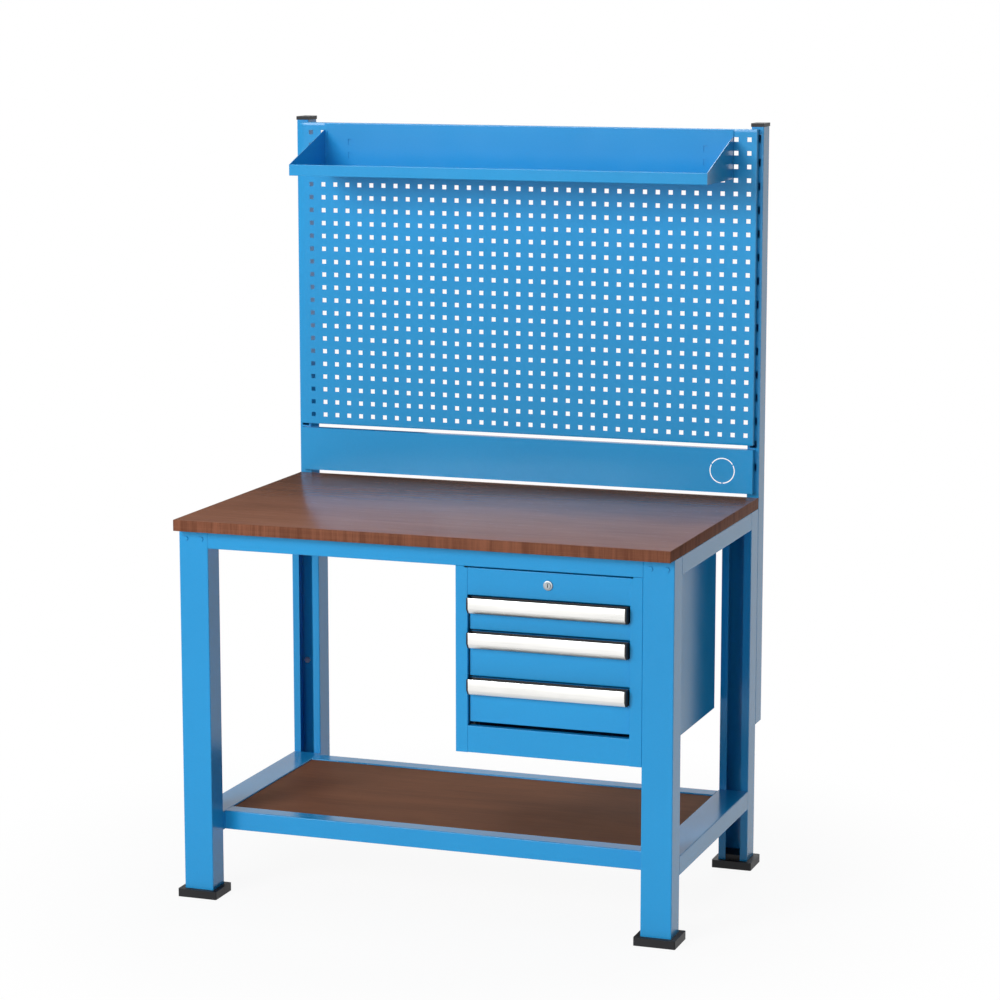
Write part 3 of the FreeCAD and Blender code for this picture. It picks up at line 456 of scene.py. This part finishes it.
def drawn_out(mesh, edges):
    """Extrudes edges on the spot and returns the new vertices."""
    made = bmesh.ops.extrude_edge_only(mesh, edges=edges)["geom"]
    return [item for item in made if isinstance(item, bmesh.types.BMVert)]


def grow_border(mesh, axis, border, target):
    """Draws the border of a sheet that lies at one place on an axis out to another place."""
    edges = [e for e in mesh.edges
             if e.is_boundary and all(abs(v.co[axis] - border) < TOUCH for v in e.verts)]
    for v in drawn_out(mesh, edges):
        v.co[axis] = target


def rim_edges(mesh, low, high, y):
    """Boundary edges of the sheet's outline at depth y."""
    def on_rim(v):
        at_side = min(abs(v.co.x - low.x), abs(v.co.x - high.x)) < TOUCH
        at_end = min(abs(v.co.z - low.z), abs(v.co.z - high.z)) < TOUCH
        return abs(v.co.y - y) < TOUCH and (at_side or at_end)

    return [e for e in mesh.edges if e.is_boundary and all(on_rim(v) for v in e.verts)]


def punched_field(mesh, front_y):
    """Adds the field of square holes. Returns its left and bottom borders, its width and its height."""
    bmesh.ops.create_grid(mesh, x_segments=HOLE_COLUMNS, y_segments=HOLE_ROWS, size=0.5)
    upright = Matrix.Rotation(math.pi / 2, 3, "X")
    bmesh.ops.rotate(mesh, verts=mesh.verts, cent=(0, 0, 0), matrix=upright)
    reach = max(v.co.x for v in mesh.verts)
    wide = HOLE_COLUMNS * HOLE_PITCH
    tall = HOLE_ROWS * HOLE_PITCH
    bmesh.ops.scale(mesh, vec=(wide / 2 / reach, 1, tall / 2 / reach), verts=mesh.verts)
    left = FIRST_HOLE_X - HOLE_PITCH / 2
    bottom = FIRST_HOLE_Z - HOLE_PITCH / 2
    middle = (left + wide / 2, front_y, bottom + tall / 2)
    bmesh.ops.translate(mesh, vec=middle, verts=mesh.verts)
    cells = list(mesh.faces)
    bmesh.ops.inset_individual(mesh, faces=cells, thickness=(HOLE_PITCH - HOLE_SIZE) / 2,
                               use_even_offset=True)
    bmesh.ops.delete(mesh, geom=cells, context="FACES")
    return left, bottom, wide, tall


def panel_hooks(mesh, sides, rear_y):
    """Adds hooks behind the sheet that hang in the slots of the uprights."""
    start = rear_y - HOOK_ROOT
    behind = rear_y + HOOK_REACH
    tip = behind + HOOK_SHEET
    for side in sides:
        middle = side - math.copysign(HOOK_FROM_EDGE, side)
        for z in HOOK_HEIGHTS:
            outline = [(start, z), (behind, z), (behind, z - HOOK_DROP), (tip, z - HOOK_DROP),
                       (tip, z + HOOK_RISE), (start, z + HOOK_RISE)]
            along_x(mesh, outline, middle - HOOK_WIDTH / 2, middle + HOOK_WIDTH / 2)


def pegboard_sheet():
    """Perforated sheet with its edges folded back and the sides folded in once more."""
    low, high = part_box("pegboard")
    front_y = low.y
    rear_y = front_y + PANEL_DEPTH
    mesh = bmesh.new()
    left, bottom, wide, tall = punched_field(mesh, front_y)
    grow_border(mesh, 0, left, low.x)
    grow_border(mesh, 0, left + wide, high.x)
    grow_border(mesh, 2, bottom, low.z)
    grow_border(mesh, 2, bottom + tall, high.z)
    for v in drawn_out(mesh, rim_edges(mesh, low, high, front_y)):
        v.co.y = rear_y
    sides = [e for e in rim_edges(mesh, low, high, rear_y)
             if all(min(v.co.x - low.x, high.x - v.co.x) < TOUCH for v in e.verts)]
    for v in drawn_out(mesh, sides):
        v.co.x -= math.copysign(PANEL_RETURN, v.co.x)
    bmesh.ops.remove_doubles(mesh, verts=mesh.verts, dist=MERGE)
    outwards(mesh)
    front = min(mesh.faces, key=lambda f: f.calc_center_median().y)
    if front.normal.y > 0:
        bmesh.ops.reverse_faces(mesh, faces=mesh.faces)
    bends = [e for e in mesh.edges if len(e.link_faces) == 2 and e.calc_face_angle() > BEND_ANGLE]
    ease(mesh, bends, PANEL_BEND, 2)
    made = piece("pegboard_sheet", mesh, "bench", [blue_paint], ["pegboard"],
                 PANEL_SHARP)
    wall = made.modifiers.new("sheet", "SOLIDIFY")
    wall.thickness = PANEL_SHEET
    wall.offset = -1.0
    settle(made, PANEL_SHARP, lambda sheet: panel_hooks(sheet, (low.x, high.x), rear_y))


# Worktop


def worktop_board():
    """Board with eased edges: lacquered above and below, sawn round its sides."""
    low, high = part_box("worktop")
    mesh = bmesh.new()
    block(mesh, low, high)
    ease(mesh, list(mesh.edges), WORKTOP_ROUNDING, 3)
    outwards(mesh)
    for face in mesh.faces:
        face.material_index = 0 if abs(face.normal.z) > FACE_SLOPE else 1
    piece("worktop_board", mesh, "bench", [worktop_face, worktop_edge], ["worktop"])


# Drawers


def grip_outline(low, high, hollow=()):
    """Section of a grip with a bevelled foot, and with a hollow open at its top where one is given."""
    bevel = (high.z - low.z) * GRIP_BEVEL_SHARE
    foot = (high.y - low.y) * GRIP_BEVEL_SHARE
    return [
        (high.y, low.z), (high.y, high.z), *hollow, (low.y, high.z),
        (low.y, low.z + bevel), (low.y + foot, low.z),
    ]


def grip_hollow(low, high):
    """The hollow of a grip strip, from back to front."""
    back = high.y - GRIP_WALL
    front = low.y + GRIP_WALL
    floor_z = low.z + (high.z - low.z) * GRIP_BEVEL_SHARE
    return [(back, high.z), (back, floor_z), (front, floor_z + GRIP_WALL), (front, high.z)]


def drawer_grip(number):
    """Grip strip across a drawer's front, with painted shade on the faces inside its hollow."""
    low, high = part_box(f"drawer_{number}_grip")
    mesh = bmesh.new()
    along_x(mesh, grip_outline(low, high, grip_hollow(low, high)), low.x, high.x)
    outwards(mesh)
    long_edges = [e for e in mesh.edges
                  if abs(e.verts[0].co.x - e.verts[1].co.x) > LONG_EDGE
                  and e.verts[0].co.y < high.y - TOUCH]
    ease(mesh, long_edges, GRIP_ROUNDING, 3)
    floor_z = low.z + (high.z - low.z) * GRIP_BEVEL_SHARE
    # Faces inside the hollow get the painted shade; the rims and the outside stay bright metal
    for face in mesh.faces:
        centre = face.calc_center_median()
        between = low.y + GRIP_BRIGHT_RIM < centre.y < high.y - GRIP_BRIGHT_RIM
        face.material_index = int(between and centre.z > floor_z - GRIP_INSIDE_MARGIN)
    piece(f"drawer_{number}_grip_strip", mesh, f"drawer_{number}", [grip_metal, grip_channel_shade_paint],
          [f"drawer_{number}_grip"])


def drawer_grip_ends(number):
    """Plastic caps on the two ends of a grip strip."""
    low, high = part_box(f"drawer_{number}_grip_caps")
    mesh = bmesh.new()
    for start in (low.x, high.x - GRIP_CAP):
        along_x(mesh, grip_outline(low, high), start, start + GRIP_CAP)
    outwards(mesh)
    free_edges = [e for e in mesh.edges if any(v.co.y < high.y - TOUCH for v in e.verts)]
    ease(mesh, free_edges, GRIP_CAP_ROUNDING, 2)
    piece(f"drawer_{number}_grip_ends", mesh, f"drawer_{number}", [black_plastic],
          [f"drawer_{number}_grip_caps"])


# Lock


def lock_collar():
    """Turned collar of the lock with its body behind, bored for the cylinder."""
    low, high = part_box("lock_housing")
    centre = ((low.x + high.x) / 2, (low.z + high.z) / 2)
    outer = (high.x - low.x) / 2
    face = low.y
    profile = [
        (LOCK_BORE, face + LOCK_LIP), (LOCK_BORE + LOCK_LIP, face), (outer - LOCK_RIM, face),
        (outer - LOCK_RIM_BREAK, face + LOCK_RIM_BREAK), (outer, face + LOCK_RIM),
        (outer, face + LOCK_FLANGE), (LOCK_BODY_RADIUS, face + LOCK_FLANGE),
        (LOCK_BODY_RADIUS, high.y), (LOCK_BORE, high.y),
    ]
    mesh = bmesh.new()
    turned(mesh, profile, centre)
    outwards(mesh)
    piece("lock_collar", mesh, "bench", [lock_nickel], ["lock_housing"])


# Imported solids


def finish_solids():
    """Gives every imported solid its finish."""
    for name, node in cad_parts.items():
        finish = next((f for part, f in FINISH_BY_NAME if part in name), blue_paint)
        if not node.material_slots:
            node.data.materials.append(finish.material)
        for slot in node.material_slots:
            slot.material = finish.material


# Studio


def studio_world():
    """White where it is seen, and a faint even light on the bench."""
    world = bpy.data.worlds.new("studio")
    bpy.context.scene.world = world
    shading = Shading(world)
    seen = shading.light_path()
    background = shading.tree.nodes["Background"]
    background.inputs["Color"].default_value = (1, 1, 1, 1)
    shading.feed(background.inputs["Strength"], seen + (1 - seen) * AMBIENT)


def studio_floor():
    """Pale floor that keeps the shadow and fades into the white background."""
    mesh = bmesh.new()
    bmesh.ops.create_grid(mesh, x_segments=1, y_segments=1, size=FLOOR_HALF)
    floor = shown("floor", mesh)
    paint = Finish("floor_paint", Roughness=0.9)
    paint.set("Base Color", paint.blend(paint.noise(3.0), (0.86, 0.86, 0.86, 1), (0.9, 0.9, 0.9, 1)))
    away = paint.node("ShaderNodeVectorMath", {"operation": "LENGTH"}, {0: paint.place()},
                      output="Value")
    fade = away.above(FLOOR_FADE, FLOOR_FADE_WIDTH)
    share = paint.light_path() * (FLOOR_GLOW + (1 - FLOOR_GLOW) * fade)
    glow = paint.node("ShaderNodeEmission", None, {"Strength": 1.0})
    mixed = paint.node("ShaderNodeMixShader", None,
                       {0: share, 1: Value(paint, paint.shader.outputs[0]), 2: glow})
    paint.feed(paint.tree.nodes["Material Output"].inputs["Surface"], mixed)
    floor.data.materials.append(paint.material)


def dark_card():
    """Black card behind the bench, high on the left, that only reflections show."""
    mesh = bmesh.new()
    for low, high in CARD_SLABS:
        block(mesh, low, high)
    card = shown("dark_card", mesh)
    card.visible_camera = False
    card.visible_diffuse = False
    card.visible_shadow = False
    cloth = Finish("dark_card_cloth", Roughness=1.0)
    cloth.set("Base Color", cloth.blend(cloth.noise(4.0), (0.01, 0.01, 0.01, 1), (0.02, 0.02, 0.02, 1)))
    card.data.materials.append(cloth.material)


def soft_lamp(name, place, aim, size, power):
    """Round area lamp that looks at a place."""
    lamp = bpy.data.lights.new(name, "AREA")
    lamp.shape = "DISK"
    lamp.size = size
    lamp.energy = power
    holder = bpy.data.objects.new(name, lamp)
    holder.location = place
    holder.rotation_euler = (Vector(aim) - Vector(place)).to_track_quat("-Z", "Y").to_euler()
    bpy.context.scene.collection.objects.link(holder)


def photo_camera():
    """Camera where the photo was taken from."""
    camera = bpy.data.cameras.new("camera")
    camera.sensor_width = CAMERA_SENSOR
    camera.lens = CAMERA_LENS
    camera.clip_start, camera.clip_end = CAMERA_REACH
    holder = bpy.data.objects.new("camera", camera)
    holder.location = CAMERA_PLACE
    holder.rotation_euler = (math.pi / 2 - CAMERA_DOWN, 0.0, CAMERA_TURN)
    bpy.context.scene.collection.objects.link(holder)
    bpy.context.scene.camera = holder


pegboard_sheet()
worktop_board()
for number in DRAWERS:
    drawer_grip(number)
    drawer_grip_ends(number)
lock_collar()
finish_solids()

studio_world()
studio_floor()
dark_card()
for lamp in LAMPS:
    soft_lamp(*lamp)
photo_camera()
bpy.context.scene.view_settings.view_transform = "Standard"
